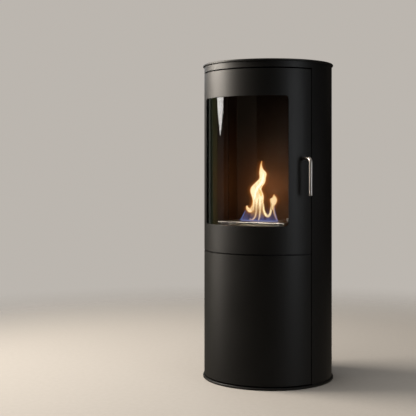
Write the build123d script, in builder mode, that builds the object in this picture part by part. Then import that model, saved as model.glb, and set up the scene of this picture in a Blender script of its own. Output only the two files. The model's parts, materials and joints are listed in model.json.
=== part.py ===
from build123d import *

import os
from math import cos, degrees, radians, sin, sqrt, tan

# A free-standing round bioethanol fireplace: a rolled steel body on a base plate, a curved
# glazed door over the fire chamber, a curved plain door over the store below, and a
# stainless burner with a sliding damper.
#
# Millimetres. The origin is the centre of the base, on the floor. The doors face -Y and
# +Z is up. Angles are measured around the body from the front: 0 at -Y, 90 at +X.

# Body
body_radius = 220.0
skin = 2.0                      # rolled steel of the body and the doors
sheet = 2.0                     # flat steel inside
total_height = 1075.0
plate_overhang = 4.5            # base and top plates past the body
base_thickness = 8.0
top_thickness = 7.0
rim_round = 2.4                 # rounded rims of both plates
header_height = 19.8            # body band above the upper door
fit_gap = 0.1                   # between curved pieces that are fixed together

# Doors
door_half_angle = 67.1
door_depth = 24.0               # from the skin's face to the flange's edge
seam = 3.2                      # upright gaps beside the doors
level_seam = 4.4                # gaps above the upper door and between the doors
base_seam = 4.5                 # gap under the lower door
split_height = 438.0            # middle of the gap between the doors

# Window
window_half_angle = 44.8
window_sill = 90.8              # opening above the door's bottom edge
window_head = 88.3              # opening below the door's top edge
window_corner = 10.0
glass_thickness = 4.0
glass_lap = 15.0                # glass past the opening, above, below and at the sides
gasket_thickness = 2.0
gasket_lip = 5.0                # gasket's edge back from the opening
frame_thickness = 4.0
frame_border = 9.0              # frame past the glass, where its studs pass
frame_edge_drop = 1.5           # frame's top and bottom edges behind the opening's edges
frame_side_drop = 3.5           # and its side edges, seen from further round
stud_diameter = 4.0
stud_collar = 7.0
stud_head = 7.5
stud_head_height = 2.6
stud_rows = 5                   # up each side

# Door pivots
pivot_depth = 8.0               # pin's axis inside the body's inner face
pivot_inset_angle = 3.4         # from the door's edge
pin_diameter = 6.0
pin_clearance = 0.05            # radial running clearance
pin_reach = 14.0                # pin past the plate that holds it
bush_diameter = 10.0
bush_collar = 15.0
bush_length = 10.0
bush_stand = 0.3                # bush end above or below what it turns on
door_swing = 100.0

# Posts beside the doors
post_setback = 4.0              # from the body's front edge
post_depth = 24.0
post_leg_angle = 6.0

# Middle deck and brackets
deck_edge_gap = 3.0             # deck inside the body
post_notch_gap = 1.0            # round the posts in the deck
bracket_leg = 20.0
bracket_angles = (82.0, 130.0, 180.0, 230.0, 278.0)
bracket_half_angle = 4.0
bracket_screw_diameter = 5.0
bracket_screw_head = 9.0
bracket_screw_head_height = 3.2
top_screw_bite = 5.0            # depth of the screws in the top plate

# Fire chamber
chamber_side_gap = 61.0         # side panels inside the body
chamber_back = 60.0             # face of the back panel, behind the axis
chamber_front_gap = 3.5         # side panels behind the door's flanges
chamber_floor_drop = 3.0        # chamber floor below the window's opening
chamber_roof_drop = 68.0        # chamber roof below the top plate
back_return = 62.0              # the back panel's side returns
floor_bracket_length = 30.0
floor_bracket_leg = 15.0
roof_slot_length = 44.0
roof_slot_width = 10.0
roof_slot_pitch = 56.0
roof_slot_row_pitch = 25.0
roof_slot_count = 5
roof_slot_rows = 2

# Burner
burner_front = 128.5            # tray's front edge, ahead of the axis
burner_depth = 128.5
burner_side_gap = 32.0          # tray's ends inside the chamber's side panels
burner_sheet = 1.5
tray_height = 11.0              # tray's top above the chamber floor
cover_bend = 2.5                # outside radius of the cover's folded edges
tank_inset = 7.5                # tank wall inside the tray's edge
tank_height = 61.5
tank_floor_gap = 1.5            # round the tank in the chamber floor
wool_gap = 1.5
wool_below_rim = 8.0
slot_end_gap = 55.0             # flame slot's ends inside the tray's ends
slot_width = 30.0
slot_middle = 69.0              # ahead of the axis
damper_lap = 3.3
damper_gap = 0.3
damper_rest_gap = 3.5           # open damper behind the slot
damper_tail = 37.0              # damper plate past the slot, towards its knob
rail_lip = 3.0
knob_stem = 5.0
knob_diameter = 11.0
knob_height = 9.0
knob_slot_gap = 0.5

# Handle
handle_angle = 58.5
handle_height = 751.5
handle_diameter = 12.0
handle_standoff = 43.9          # skin to the rod's axis
handle_drop = 121.0
handle_bend = 14.0
handle_end_round = 2.0
stem_diameter = 8.0
stem_hole_gap = 0.2
stem_inside = 13.0
rosette_diameter = 20.0
rosette_thickness = 3.0
washer_diameter = 18.0
washer_thickness = 1.6
nut_width = 13.0
nut_height = 6.5

# Catches
magnet_height = 50.0
magnet_width = 14.0
magnet_thickness = 6.0
latch_depth = 16.0              # plunger's axis inside the body's inner face
plunger_diameter = 8.0
plunger_clearance = 0.1
plunger_tip_gap = 0.5
plunger_inside = 20.0
plunger_stroke = 2.5
latch_body_size = 14.0
latch_body_length = 43.0
latch_wall = 2.0
spring_wall = 1.0

# Stiffener of the lower door
stiffener_half_angle = 6.0
stiffener_foot_angle = 4.0
stiffener_depth = 12.0
stiffener_end_gap = 30.0

# Air slots in the back of the body
air_slot_width = 6.0
air_slot_height = 28.0
air_slot_pitch = 5.0            # degrees
air_slots_each_side = 7
air_row_above_base = 52.0
air_row_above_deck = 41.0
air_row_below_top = 40.0

# Holes through the base for fixing it to the floor
floor_bolt_circle = 300.0
floor_bolt_hole = 9.0
floor_bolts = 4

# Worked out from the sizes above
body_inner = body_radius - skin
plate_radius = body_radius + plate_overhang
door_inner = body_radius - door_depth
top_plate_bottom = total_height - top_thickness
header_bottom = top_plate_bottom - header_height
deck_bottom = split_height - sheet / 2
deck_top = split_height + sheet / 2
lower_door_bottom = base_thickness + base_seam
lower_door_top = split_height - level_seam / 2
upper_door_bottom = split_height + level_seam / 2
upper_door_top = header_bottom - level_seam
window_bottom = upper_door_bottom + window_sill
window_top = upper_door_top - window_head
body_edge_angle = door_half_angle + degrees(seam / body_radius)
post_angle = body_edge_angle + degrees((post_setback + sheet / 2) / body_inner)
post_middle = body_inner - fit_gap - post_depth / 2
pivot_angle = door_half_angle - pivot_inset_angle
pivot_radius = body_inner - pivot_depth
glass_outer = body_inner - gasket_thickness
glass_inner = glass_outer - glass_thickness
glass_half_angle = window_half_angle + degrees(glass_lap / glass_outer)
glass_bottom = window_bottom - glass_lap
glass_top = window_top + glass_lap
frame_half_angle = glass_half_angle + degrees(frame_border / glass_inner)
frame_open_angle = window_half_angle + degrees(frame_side_drop / glass_inner)
deck_radius = body_inner - deck_edge_gap
bracket_inner = body_inner - bracket_leg
bracket_outer = body_inner - fit_gap
bracket_screw_radius = (bracket_inner + deck_radius) / 2
chamber_floor_top = window_bottom - chamber_floor_drop
chamber_floor_bottom = chamber_floor_top - sheet
chamber_top = top_plate_bottom - chamber_roof_drop
chamber_half_width = body_inner - chamber_side_gap
latch_radius = body_inner - latch_depth
latch_level = (lower_door_bottom + lower_door_top) / 2
air_row_levels = (
    base_thickness + air_row_above_base,
    deck_top + air_row_above_deck,
    top_plate_bottom - air_row_below_top,
)
burner_back = burner_depth - burner_front
burner_half_length = chamber_half_width - burner_side_gap
slot_half_length = burner_half_length - slot_end_gap
burner_top = chamber_floor_top + tray_height
burner_middle = burner_front - burner_depth / 2
tank_top = chamber_floor_top + burner_sheet
cover_underside = burner_top - burner_sheet
damper_top = cover_underside - damper_gap
damper_depth = slot_width + 2 * damper_lap
damper_travel = slot_width + damper_rest_gap + damper_lap
damper_left = -slot_half_length - damper_lap - rail_lip / 2
damper_right = slot_half_length + damper_tail
damper_front = slot_middle - slot_width / 2 - damper_rest_gap


def around(angle, radius, height=0.0):
    """The point at an angle and a radius around the body's axis."""
    turn = radians(angle)
    return (radius * sin(turn), -radius * cos(turn), height)


def radial_plane(angle):
    """The upright plane through the axis: its X runs outwards and its Y runs up."""
    turn = radians(angle)
    return Plane(
        origin=(0, 0, 0),
        x_dir=(sin(turn), -cos(turn), 0),
        z_dir=(-cos(turn), -sin(turn), 0),
    )


def facing_plane(angle, radius, height):
    """A plane square to the radius: its X runs round the body and it faces outwards."""
    turn = radians(angle)
    return Plane(
        origin=around(angle, radius, height),
        x_dir=(cos(turn), sin(turn), 0),
        z_dir=(sin(turn), -cos(turn), 0),
    )


def tangent_plane(angle, radius, height, offset=0.0):
    """A plane that faces round the body, with its X outwards and its Y up or down."""
    turn = radians(angle)
    start = Vector(*around(angle, radius, height)) + Vector(cos(turn), sin(turn), 0) * offset
    return Plane(origin=start, x_dir=(sin(turn), -cos(turn), 0), z_dir=(cos(turn), sin(turn), 0))


def band(inner, outer, bottom, top, start, end, mode=Mode.ADD):
    """Turn a rectangle about the body's axis, from one angle to another."""
    with BuildSketch(radial_plane(min(start, end))) as profile:
        with Locations(((inner + outer) / 2, (bottom + top) / 2)):
            Rectangle(outer - inner, top - bottom)
    revolve(profile.sketch, axis=Axis.Z, revolution_arc=abs(end - start), mode=mode)


def block(x_low, x_high, y_low, y_high, z_low, z_high, mode=Mode.ADD):
    """An upright block between two corners."""
    with BuildSketch(Plane.XY.offset(z_low)) as profile:
        with Locations(((x_low + x_high) / 2, (y_low + y_high) / 2)):
            Rectangle(x_high - x_low, y_high - y_low)
    extrude(profile.sketch, amount=z_high - z_low, mode=mode)


def peg(plane, diameter, length, mode=Mode.ADD):
    """A round bar, or a round hole, that starts on a plane."""
    with BuildSketch(plane) as profile:
        Circle(diameter / 2)
    extrude(profile.sketch, amount=length, mode=mode)


def pipe(plane, outer, inner, length):
    """A round sleeve that starts on a plane."""
    with BuildSketch(plane) as profile:
        Circle(outer / 2)
        Circle(inner / 2, mode=Mode.SUBTRACT)
    extrude(profile.sketch, amount=length)


def upright(height, angle=None, radius=0.0):
    """A level plane at a height, centred on the axis or on a point around it."""
    if angle is None:
        return Plane.XY.offset(height)
    return Plane(origin=around(angle, radius, height))


def on_edge(angle, middle):
    """A place for a rectangle in plan: its X runs outwards at an angle and a radius."""
    return Location(around(angle, middle), (0, 0, 1), angle - 90)


def save(part, label):
    """Label a finished piece and write it."""
    part.label = label
    export_step(part, f"parts/{label}.step")


os.makedirs("parts", exist_ok=True)

# Base plate: a disc with a rounded rim, holes for floor bolts, countersinks for the
# bracket screws and a blind hole for the lower door's pin.
with BuildPart() as base_plate:
    with BuildSketch():
        Circle(plate_radius)
        with PolarLocations(floor_bolt_circle / 2, floor_bolts, start_angle=45):
            Circle(floor_bolt_hole / 2, mode=Mode.SUBTRACT)
    extrude(amount=base_thickness)
    rims = base_plate.edges().filter_by(GeomType.CIRCLE).group_by(SortBy.RADIUS)[-1]
    fillet(rims, radius=rim_round)
    for angle in bracket_angles:
        screw_foot = upright(0, angle, bracket_screw_radius)
        peg(screw_foot, bracket_screw_diameter, base_thickness, Mode.SUBTRACT)
        peg(screw_foot, bracket_screw_head, bracket_screw_head_height, Mode.SUBTRACT)
    peg(upright(base_thickness / 2, -pivot_angle, pivot_radius), pin_diameter, base_thickness, Mode.SUBTRACT)
save(base_plate.part, "base_plate")

# Body shell: one rolled sheet, open at the front below its header band, with rows of air
# slots in its back.
with BuildPart() as body_shell:
    pipe(upright(base_thickness), 2 * body_radius, 2 * body_inner, top_plate_bottom - base_thickness)
    band(
        body_inner - skin, body_radius + skin, base_thickness - 1, header_bottom,
        -body_edge_angle, body_edge_angle, Mode.SUBTRACT,
    )
    for level in air_row_levels:
        for step in range(-air_slots_each_side, air_slots_each_side + 1):
            slot_plane = facing_plane(180 + step * air_slot_pitch, body_inner - skin, level)
            with BuildSketch(slot_plane):
                SlotOverall(air_slot_height, air_slot_width, rotation=90)
            extrude(amount=3 * skin, mode=Mode.SUBTRACT)
save(body_shell.part, "body_shell")

# Top plate: a disc with a rounded rim and blind holes for its screws.
with BuildPart() as top_plate:
    with BuildSketch(Plane.XY.offset(top_plate_bottom)):
        Circle(plate_radius)
    extrude(amount=top_thickness)
    fillet(top_plate.edges(), radius=rim_round)
    for angle in bracket_angles:
        peg(
            upright(top_plate_bottom, angle, bracket_screw_radius),
            bracket_screw_diameter, top_screw_bite, Mode.SUBTRACT,
        )
save(top_plate.part, "top_plate")


def build_post(side):
    """An upright angle beside the doors: one leg stands inwards, one follows the body."""
    with BuildPart() as post:
        with BuildSketch(Plane.XY.offset(base_thickness)):
            with Locations(on_edge(side * post_angle, post_middle)):
                Rectangle(post_depth, sheet)
        extrude(amount=top_plate_bottom - base_thickness)
        band(
            body_inner - fit_gap - sheet, body_inner - fit_gap, base_thickness, top_plate_bottom,
            side * post_angle, side * (post_angle + post_leg_angle),
        )
        if side > 0:
            bore = plunger_diameter + 2 * plunger_clearance
            peg(tangent_plane(post_angle, latch_radius, latch_level, -sheet), bore, 2 * sheet, Mode.SUBTRACT)
    return post.part


hinge_post = build_post(-1)
save(hinge_post, "hinge_post")
latch_post = build_post(1)
save(latch_post, "latch_post")


def build_brackets(seat, leg_direction):
    """Five angle brackets on the body's inner face, with a level leg on a seat height."""
    with BuildPart() as brackets:
        for angle in bracket_angles:
            start = angle - bracket_half_angle
            end = angle + bracket_half_angle
            flat_low = min(seat, seat + leg_direction * sheet)
            leg_low = min(seat, seat + leg_direction * bracket_leg)
            band(bracket_inner, bracket_outer, flat_low, flat_low + sheet, start, end)
            band(bracket_outer - sheet, bracket_outer, leg_low, leg_low + bracket_leg, start, end)
            peg(
                upright(flat_low, angle, bracket_screw_radius),
                bracket_screw_diameter, sheet, Mode.SUBTRACT,
            )
    return brackets.part


def build_bracket_screws(head_face, head_direction, tip):
    """Five screws: a head against a face, and a shank from that face to a tip height."""
    with BuildPart() as screws:
        for angle in bracket_angles:
            head_low = min(head_face, head_face + head_direction * bracket_screw_head_height)
            peg(upright(head_low, angle, bracket_screw_radius), bracket_screw_head, bracket_screw_head_height)
            low, high = sorted((head_face, tip))
            peg(upright(low, angle, bracket_screw_radius), bracket_screw_diameter, high - low)
    return screws.part


save(build_brackets(base_thickness, 1), "base_brackets")
save(build_bracket_screws(bracket_screw_head_height, -1, base_thickness + 2 * sheet), "base_screws")
save(build_brackets(deck_bottom, -1), "deck_brackets")
save(build_bracket_screws(deck_top, 1, deck_bottom - 2 * sheet), "deck_screws")
save(build_brackets(top_plate_bottom, -1), "top_brackets")
save(
    build_bracket_screws(top_plate_bottom - sheet, -1, top_plate_bottom + top_screw_bite),
    "top_screws",
)

# Middle deck: the floor between the store and the burner space, notched round the posts.
with BuildPart() as middle_deck:
    with BuildSketch(Plane.XY.offset(deck_bottom)):
        Circle(deck_radius)
    extrude(amount=sheet)
    for side in (-1, 1):
        with BuildSketch(Plane.XY.offset(deck_bottom)):
            with Locations(on_edge(side * post_angle, post_middle)):
                Rectangle(post_depth + 2 * post_notch_gap, sheet + 2 * post_notch_gap)
        extrude(amount=sheet, mode=Mode.SUBTRACT)
    for angle in bracket_angles:
        peg(upright(deck_bottom, angle, bracket_screw_radius), bracket_screw_diameter, sheet, Mode.SUBTRACT)
    peg(upright(deck_bottom, -pivot_angle, pivot_radius), pin_diameter, sheet, Mode.SUBTRACT)
save(middle_deck.part, "middle_deck")

# Hinge plate: carries the upper door's top pin, behind the header band.
hinge_plate_bottom = header_bottom + fit_gap
with BuildPart() as hinge_plate:
    band(
        door_inner, body_inner - fit_gap, hinge_plate_bottom, hinge_plate_bottom + sheet,
        -pivot_angle - pivot_inset_angle, -pivot_angle + 2 * pivot_inset_angle,
    )
    peg(upright(hinge_plate_bottom, -pivot_angle, pivot_radius), pin_diameter, sheet, Mode.SUBTRACT)
save(hinge_plate.part, "hinge_plate")

# Pivot pins: in the base plate, through the middle deck and down from the hinge plate.
with BuildPart() as lower_pivot_pin:
    peg(
        upright(base_thickness / 2, -pivot_angle, pivot_radius),
        pin_diameter, base_thickness / 2 + base_seam / 2 + pin_reach,
    )
save(lower_pivot_pin.part, "lower_pivot_pin")

with BuildPart() as middle_pivot_pin:
    peg(upright(deck_bottom - pin_reach, -pivot_angle, pivot_radius), pin_diameter, 2 * pin_reach + sheet)
save(middle_pivot_pin.part, "middle_pivot_pin")

with BuildPart() as upper_pivot_pin:
    peg(
        upright(hinge_plate_bottom - pin_reach, -pivot_angle, pivot_radius),
        pin_diameter, pin_reach + sheet,
    )
    peg(upright(hinge_plate_bottom + sheet, -pivot_angle, pivot_radius), bush_diameter, sheet)
save(upper_pivot_pin.part, "upper_pivot_pin")


def build_door_pan(bottom, top):
    """A curved door skin with flanges folded inwards on all four edges."""
    with BuildPart() as pan:
        band(door_inner, body_radius, bottom, top, -door_half_angle, door_half_angle)
        flange_angle = degrees(sheet / body_inner)
        band(
            door_inner - 1, body_inner, bottom + sheet, top - sheet,
            -door_half_angle + flange_angle, door_half_angle - flange_angle, Mode.SUBTRACT,
        )
        for flange in (bottom, top - sheet):
            peg(upright(flange, -pivot_angle, pivot_radius), bush_diameter, sheet, Mode.SUBTRACT)
    return pan.part


def build_bushes(bottom, top, bottom_seat, top_seat):
    """Two flanged bushes in a door's flanges, each with its end just off what it turns on."""
    bore = pin_diameter + 2 * pin_clearance
    low_end = bottom_seat + bush_stand
    high_end = top_seat - bush_stand
    with BuildPart() as bushes:
        pipe(upright(low_end, -pivot_angle, pivot_radius), bush_diameter, bore, bush_length)
        pipe(upright(bottom + sheet, -pivot_angle, pivot_radius), bush_collar, bore, sheet)
        pipe(upright(high_end - bush_length, -pivot_angle, pivot_radius), bush_diameter, bore, bush_length)
        pipe(upright(top - 2 * sheet, -pivot_angle, pivot_radius), bush_collar, bore, sheet)
    return bushes.part


# Upper door: the pan with its window and the hole for the handle's stem.
with BuildPart() as window_tool:
    band(
        door_inner, body_radius + skin, window_bottom, window_top,
        -window_half_angle, window_half_angle,
    )
    corners = window_tool.edges().filter_by(GeomType.LINE).filter_by(Axis.Z, reverse=True)
    fillet(corners, radius=window_corner)

with BuildPart() as upper_door_pan:
    add(build_door_pan(upper_door_bottom, upper_door_top))
    add(window_tool.part, mode=Mode.SUBTRACT)
    peg(
        facing_plane(handle_angle, body_inner - skin, handle_height),
        stem_diameter + 2 * stem_hole_gap, 3 * skin, Mode.SUBTRACT,
    )
save(upper_door_pan.part, "upper_door_pan")
save(build_bushes(upper_door_bottom, upper_door_top, deck_top, hinge_plate_bottom), "upper_door_bushes")

# Window gasket, glass and the frame that holds them against the skin.
gasket_half_angle = glass_half_angle - degrees(fit_gap / glass_outer)
gasket_open_angle = window_half_angle + degrees(gasket_lip / glass_outer)
with BuildPart() as glass_gasket:
    band(
        glass_outer + fit_gap, body_inner - fit_gap, glass_bottom, glass_top,
        -gasket_half_angle, gasket_half_angle,
    )
    band(
        glass_outer - 1, body_inner + 1, window_bottom - gasket_lip, window_top + gasket_lip,
        -gasket_open_angle, gasket_open_angle, Mode.SUBTRACT,
    )
save(glass_gasket.part, "glass_gasket")

with BuildPart() as door_glass:
    band(glass_inner, glass_outer, glass_bottom, glass_top, -glass_half_angle, glass_half_angle)
save(door_glass.part, "door_glass")

frame_outer = glass_inner - fit_gap
frame_inner = frame_outer - frame_thickness
stud_angle = (glass_half_angle + frame_half_angle) / 2
stud_low = glass_bottom - frame_border / 2
stud_high = glass_top + frame_border / 2
stud_places = [
    (side * stud_angle, stud_low + (stud_high - stud_low) * row / (stud_rows - 1))
    for side in (-1, 1)
    for row in range(stud_rows)
]
stud_places += [(side * stud_angle / 3, level) for side in (-1, 1) for level in (stud_low, stud_high)]
with BuildPart() as glass_frame:
    band(
        frame_inner, frame_outer, glass_bottom - frame_border, glass_top + frame_border,
        -frame_half_angle, frame_half_angle,
    )
    band(
        frame_inner - 1, frame_outer + 1, window_bottom - frame_edge_drop, window_top + frame_edge_drop,
        -frame_open_angle, frame_open_angle, Mode.SUBTRACT,
    )
    for angle, level in stud_places:
        peg(
            facing_plane(angle, frame_inner - 1, level),
            stud_diameter, frame_thickness + 2, Mode.SUBTRACT,
        )
save(glass_frame.part, "glass_frame")

with BuildPart() as glass_studs:
    for angle, level in stud_places:
        collar_start = frame_outer + fit_gap
        head_start = frame_inner - fit_gap - stud_head_height
        peg(facing_plane(angle, head_start, level), stud_head, stud_head_height)
        peg(facing_plane(angle, head_start, level), stud_diameter, collar_start - head_start)
        peg(facing_plane(angle, collar_start, level), stud_collar, body_inner - fit_gap - collar_start)
save(glass_studs.part, "glass_studs")

# Handle: a rod that leaves the door, turns down and ends free, held by a nut inside.
rod_start = body_radius + rosette_thickness
rod_axis = body_radius + handle_standoff
with BuildPart() as door_handle:
    with BuildLine(radial_plane(handle_angle)) as rod_path:
        FilletPolyline(
            (rod_start, handle_height),
            (rod_axis, handle_height),
            (rod_axis, handle_height - handle_drop),
            radius=handle_bend,
        )
    with BuildSketch(facing_plane(handle_angle, rod_start, handle_height)):
        Circle(handle_diameter / 2)
    sweep()
    fillet(door_handle.edges().group_by(Axis.Z)[0], radius=handle_end_round)
    peg(
        facing_plane(handle_angle, body_inner - stem_inside, handle_height),
        stem_diameter, rod_start - body_inner + stem_inside,
    )
save(door_handle.part, "door_handle")

with BuildPart() as handle_rosette:
    pipe(
        facing_plane(handle_angle, body_radius, handle_height),
        rosette_diameter, stem_diameter + 2 * stem_hole_gap, rosette_thickness,
    )
save(handle_rosette.part, "handle_rosette")

washer_face = sqrt(body_inner**2 - (washer_diameter / 2) ** 2)
with BuildPart() as handle_washer:
    pipe(
        facing_plane(handle_angle, washer_face - washer_thickness, handle_height),
        washer_diameter, stem_diameter + 2 * stem_hole_gap, washer_thickness,
    )
save(handle_washer.part, "handle_washer")

with BuildPart() as handle_nut:
    with BuildSketch(facing_plane(handle_angle, washer_face - washer_thickness - nut_height, handle_height)):
        RegularPolygon(nut_width / 2, 6, major_radius=False)
        Circle(stem_diameter / 2, mode=Mode.SUBTRACT)
    extrude(amount=nut_height)
save(handle_nut.part, "handle_nut")

# Magnet on the latch post, which holds the upper door by its flange.
with BuildPart() as door_magnet:
    magnet_plane = tangent_plane(
        post_angle, door_inner + magnet_width / 2 + sheet, handle_height, -sheet / 2 - magnet_thickness,
    )
    with BuildSketch(magnet_plane):
        Rectangle(magnet_width, magnet_height)
    extrude(amount=magnet_thickness)
save(door_magnet.part, "door_magnet")

# Lower door: the plain pan, its bushes and an upright stiffener behind its middle.
lower_door_pan = build_door_pan(lower_door_bottom, lower_door_top)
save(lower_door_pan, "lower_door_pan")
save(build_bushes(lower_door_bottom, lower_door_top, base_thickness, deck_bottom), "lower_door_bushes")

stiffener_bottom = lower_door_bottom + stiffener_end_gap
stiffener_top = lower_door_top - stiffener_end_gap
stiffener_face = body_inner - fit_gap
foot_half_angle = stiffener_half_angle + stiffener_foot_angle
with BuildPart() as door_stiffener:
    band(
        stiffener_face - stiffener_depth, stiffener_face, stiffener_bottom, stiffener_top,
        -stiffener_half_angle, stiffener_half_angle,
    )
    band(
        stiffener_face - sheet, stiffener_face, stiffener_bottom, stiffener_top,
        -foot_half_angle, foot_half_angle,
    )
    wall_angle = degrees(sheet / stiffener_face)
    band(
        stiffener_face - stiffener_depth + sheet, stiffener_face + 1,
        stiffener_bottom - 1, stiffener_top + 1,
        -stiffener_half_angle + wall_angle, stiffener_half_angle - wall_angle, Mode.SUBTRACT,
    )
save(door_stiffener.part, "door_stiffener")

# Push latch of the lower door: its plunger passes through the latch post and ends just
# off the door's flange, which it holds by a magnet in its tip.
flange_distance = latch_radius * tan(radians(post_angle - door_half_angle))
plunger_tip = -flange_distance + plunger_tip_gap
latch_bore = plunger_diameter + 2 * plunger_clearance
latch_face = sheet / 2
with BuildPart() as latch_body:
    with BuildSketch(tangent_plane(post_angle, latch_radius, latch_level, latch_face)):
        Rectangle(latch_body_size, latch_body_size)
    extrude(amount=latch_body_length)
    peg(
        tangent_plane(post_angle, latch_radius, latch_level, latch_face),
        latch_bore, latch_body_length - latch_wall, Mode.SUBTRACT,
    )
save(latch_body.part, "latch_body")

with BuildPart() as latch_plunger:
    peg(
        tangent_plane(post_angle, latch_radius, latch_level, plunger_tip),
        plunger_diameter, plunger_inside - plunger_tip,
    )
save(latch_plunger.part, "latch_plunger")

spring_start = plunger_inside + plunger_stroke + plunger_tip_gap
spring_end = latch_face + latch_body_length - latch_wall
with BuildPart() as latch_spring:
    pipe(
        tangent_plane(post_angle, latch_radius, latch_level, spring_start),
        plunger_diameter - 2 * plunger_clearance, plunger_diameter - 2 * plunger_clearance - 2 * spring_wall,
        spring_end - spring_start,
    )
save(latch_spring.part, "latch_spring")

# Fire chamber: two side panels and a folded back panel stand on the deck and carry the
# floor, on brackets, and the roof.
panel_edge_radius = door_inner - chamber_front_gap
panel_outer = chamber_half_width + sheet
panel_front = sqrt(panel_edge_radius**2 - panel_outer**2)


def build_side_panel(side):
    """An upright side panel of the fire chamber."""
    with BuildPart() as panel:
        inner_x = side * chamber_half_width
        outer_x = side * panel_outer
        block(
            min(inner_x, outer_x), max(inner_x, outer_x), -panel_front, chamber_back + sheet,
            deck_top, chamber_top,
        )
    return panel.part


save(build_side_panel(-1), "chamber_side_left")
save(build_side_panel(1), "chamber_side_right")

with BuildPart() as chamber_back_panel:
    block(
        -chamber_half_width, chamber_half_width, chamber_back - back_return, chamber_back + sheet,
        deck_top, chamber_top,
    )
    block(
        -chamber_half_width + sheet, chamber_half_width - sheet, chamber_back - back_return - 1, chamber_back,
        deck_top - 1, chamber_top + 1, Mode.SUBTRACT,
    )
save(chamber_back_panel.part, "chamber_back_panel")

panel_inner = chamber_half_width - sheet
tank_half_length = burner_half_length - tank_inset
tank_front = burner_front - tank_inset
tank_back = burner_back - tank_inset
with BuildPart() as chamber_floor:
    with BuildSketch(Plane.XY.offset(chamber_floor_bottom)):
        Circle(panel_edge_radius)
        with Locations((0, (chamber_back - panel_edge_radius) / 2)):
            Rectangle(2 * panel_inner, chamber_back + panel_edge_radius, mode=Mode.INTERSECT)
        with Locations((0, -burner_middle)):
            Rectangle(
                2 * (tank_half_length + tank_floor_gap), burner_depth - 2 * tank_inset + 2 * tank_floor_gap,
                mode=Mode.SUBTRACT,
            )
    extrude(amount=sheet)
save(chamber_floor.part, "chamber_floor")

with BuildPart() as chamber_roof:
    with BuildSketch(Plane.XY.offset(chamber_top)):
        Circle(panel_edge_radius)
        with Locations((0, (chamber_back + sheet - panel_edge_radius) / 2)):
            Rectangle(2 * panel_outer, chamber_back + sheet + panel_edge_radius, mode=Mode.INTERSECT)
        with Locations((0, chamber_back - roof_slot_rows * roof_slot_row_pitch / 2)):
            with GridLocations(roof_slot_pitch, roof_slot_row_pitch, roof_slot_count, roof_slot_rows):
                SlotOverall(roof_slot_length, roof_slot_width, mode=Mode.SUBTRACT)
    extrude(amount=sheet)
save(chamber_roof.part, "chamber_roof")

with BuildPart() as floor_brackets:
    bracket_rows = (-panel_front + floor_bracket_length, chamber_back - back_return - floor_bracket_length)
    for side in (-1, 1):
        wall_x = side * chamber_half_width
        for middle_y in bracket_rows:
            low_y = middle_y - floor_bracket_length / 2
            high_y = middle_y + floor_bracket_length / 2
            lip_x = wall_x - side * floor_bracket_leg
            leg_x = wall_x - side * sheet
            block(
                min(wall_x, lip_x), max(wall_x, lip_x), low_y, high_y,
                chamber_floor_bottom - sheet, chamber_floor_bottom,
            )
            block(
                min(wall_x, leg_x), max(wall_x, leg_x), low_y, high_y,
                chamber_floor_bottom - floor_bracket_leg, chamber_floor_bottom,
            )
save(floor_brackets.part, "floor_brackets")

# Burner: a tank that hangs by its flange in the chamber floor, filled with ceramic wool,
# and a tray-shaped cover with the flame slot.
tank_bottom = tank_top - tank_height
with BuildPart() as burner_tank:
    block(-tank_half_length, tank_half_length, -tank_front, tank_back, tank_bottom, tank_top)
    block(
        -burner_half_length, burner_half_length, -burner_front, burner_back,
        chamber_floor_top, tank_top,
    )
    block(
        -tank_half_length + burner_sheet, tank_half_length - burner_sheet,
        -tank_front + burner_sheet, tank_back - burner_sheet,
        tank_bottom + burner_sheet, tank_top + 1, Mode.SUBTRACT,
    )
save(burner_tank.part, "burner_tank")

wool_half_length = tank_half_length - burner_sheet - wool_gap
with BuildPart() as burner_wool:
    block(
        -wool_half_length, wool_half_length,
        -tank_front + burner_sheet + wool_gap, tank_back - burner_sheet - wool_gap,
        tank_bottom + burner_sheet, tank_top - wool_below_rim,
    )
save(burner_wool.part, "burner_wool")

knob_x = (slot_half_length + damper_lap + damper_right) / 2 + rail_lip
knob_y = -damper_front + damper_depth / 2
with BuildPart() as burner_cover:
    block(-burner_half_length, burner_half_length, -burner_front, burner_back, tank_top, burner_top)
    fillet(burner_cover.faces().sort_by(Axis.Z)[-1].edges(), radius=cover_bend)
    block(
        -burner_half_length + burner_sheet, burner_half_length - burner_sheet,
        -burner_front + burner_sheet, burner_back - burner_sheet,
        tank_top - 1, cover_underside, Mode.SUBTRACT,
    )
    block(
        -slot_half_length, slot_half_length, -slot_middle - slot_width / 2, -slot_middle + slot_width / 2,
        cover_underside - 1, burner_top + 1, Mode.SUBTRACT,
    )
    with BuildSketch(Plane.XY.offset(cover_underside)):
        with Locations((knob_x, knob_y - damper_travel / 2)):
            SlotOverall(
                damper_travel + knob_stem + 2 * knob_slot_gap, knob_stem + 2 * knob_slot_gap, rotation=90,
            )
    extrude(amount=burner_sheet, mode=Mode.SUBTRACT)
save(burner_cover.part, "burner_cover")

# Damper rails: two channels under the cover that carry the damper's ends.
rail_floor = damper_top - burner_sheet - damper_gap
with BuildPart() as damper_rails:
    for end, outward in ((damper_left, -1), (damper_right, 1)):
        wall_near = end + outward * damper_gap
        wall_far = wall_near + outward * burner_sheet
        lip = end - outward * rail_lip
        back_y = knob_y + damper_depth / 2
        front_y = knob_y - damper_depth / 2 - damper_travel
        block(min(lip, wall_far), max(lip, wall_far), front_y, back_y, rail_floor - 1, rail_floor)
        block(
            min(wall_near, wall_far), max(wall_near, wall_far), front_y, back_y,
            rail_floor - 1, cover_underside,
        )
save(damper_rails.part, "damper_rails")

# Damper: the plate that slides under the cover to shut the flame slot, and its knob.
with BuildPart() as flame_damper:
    block(
        damper_left, damper_right, knob_y - damper_depth / 2, knob_y + damper_depth / 2,
        damper_top - burner_sheet, damper_top,
    )
save(flame_damper.part, "flame_damper")

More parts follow.
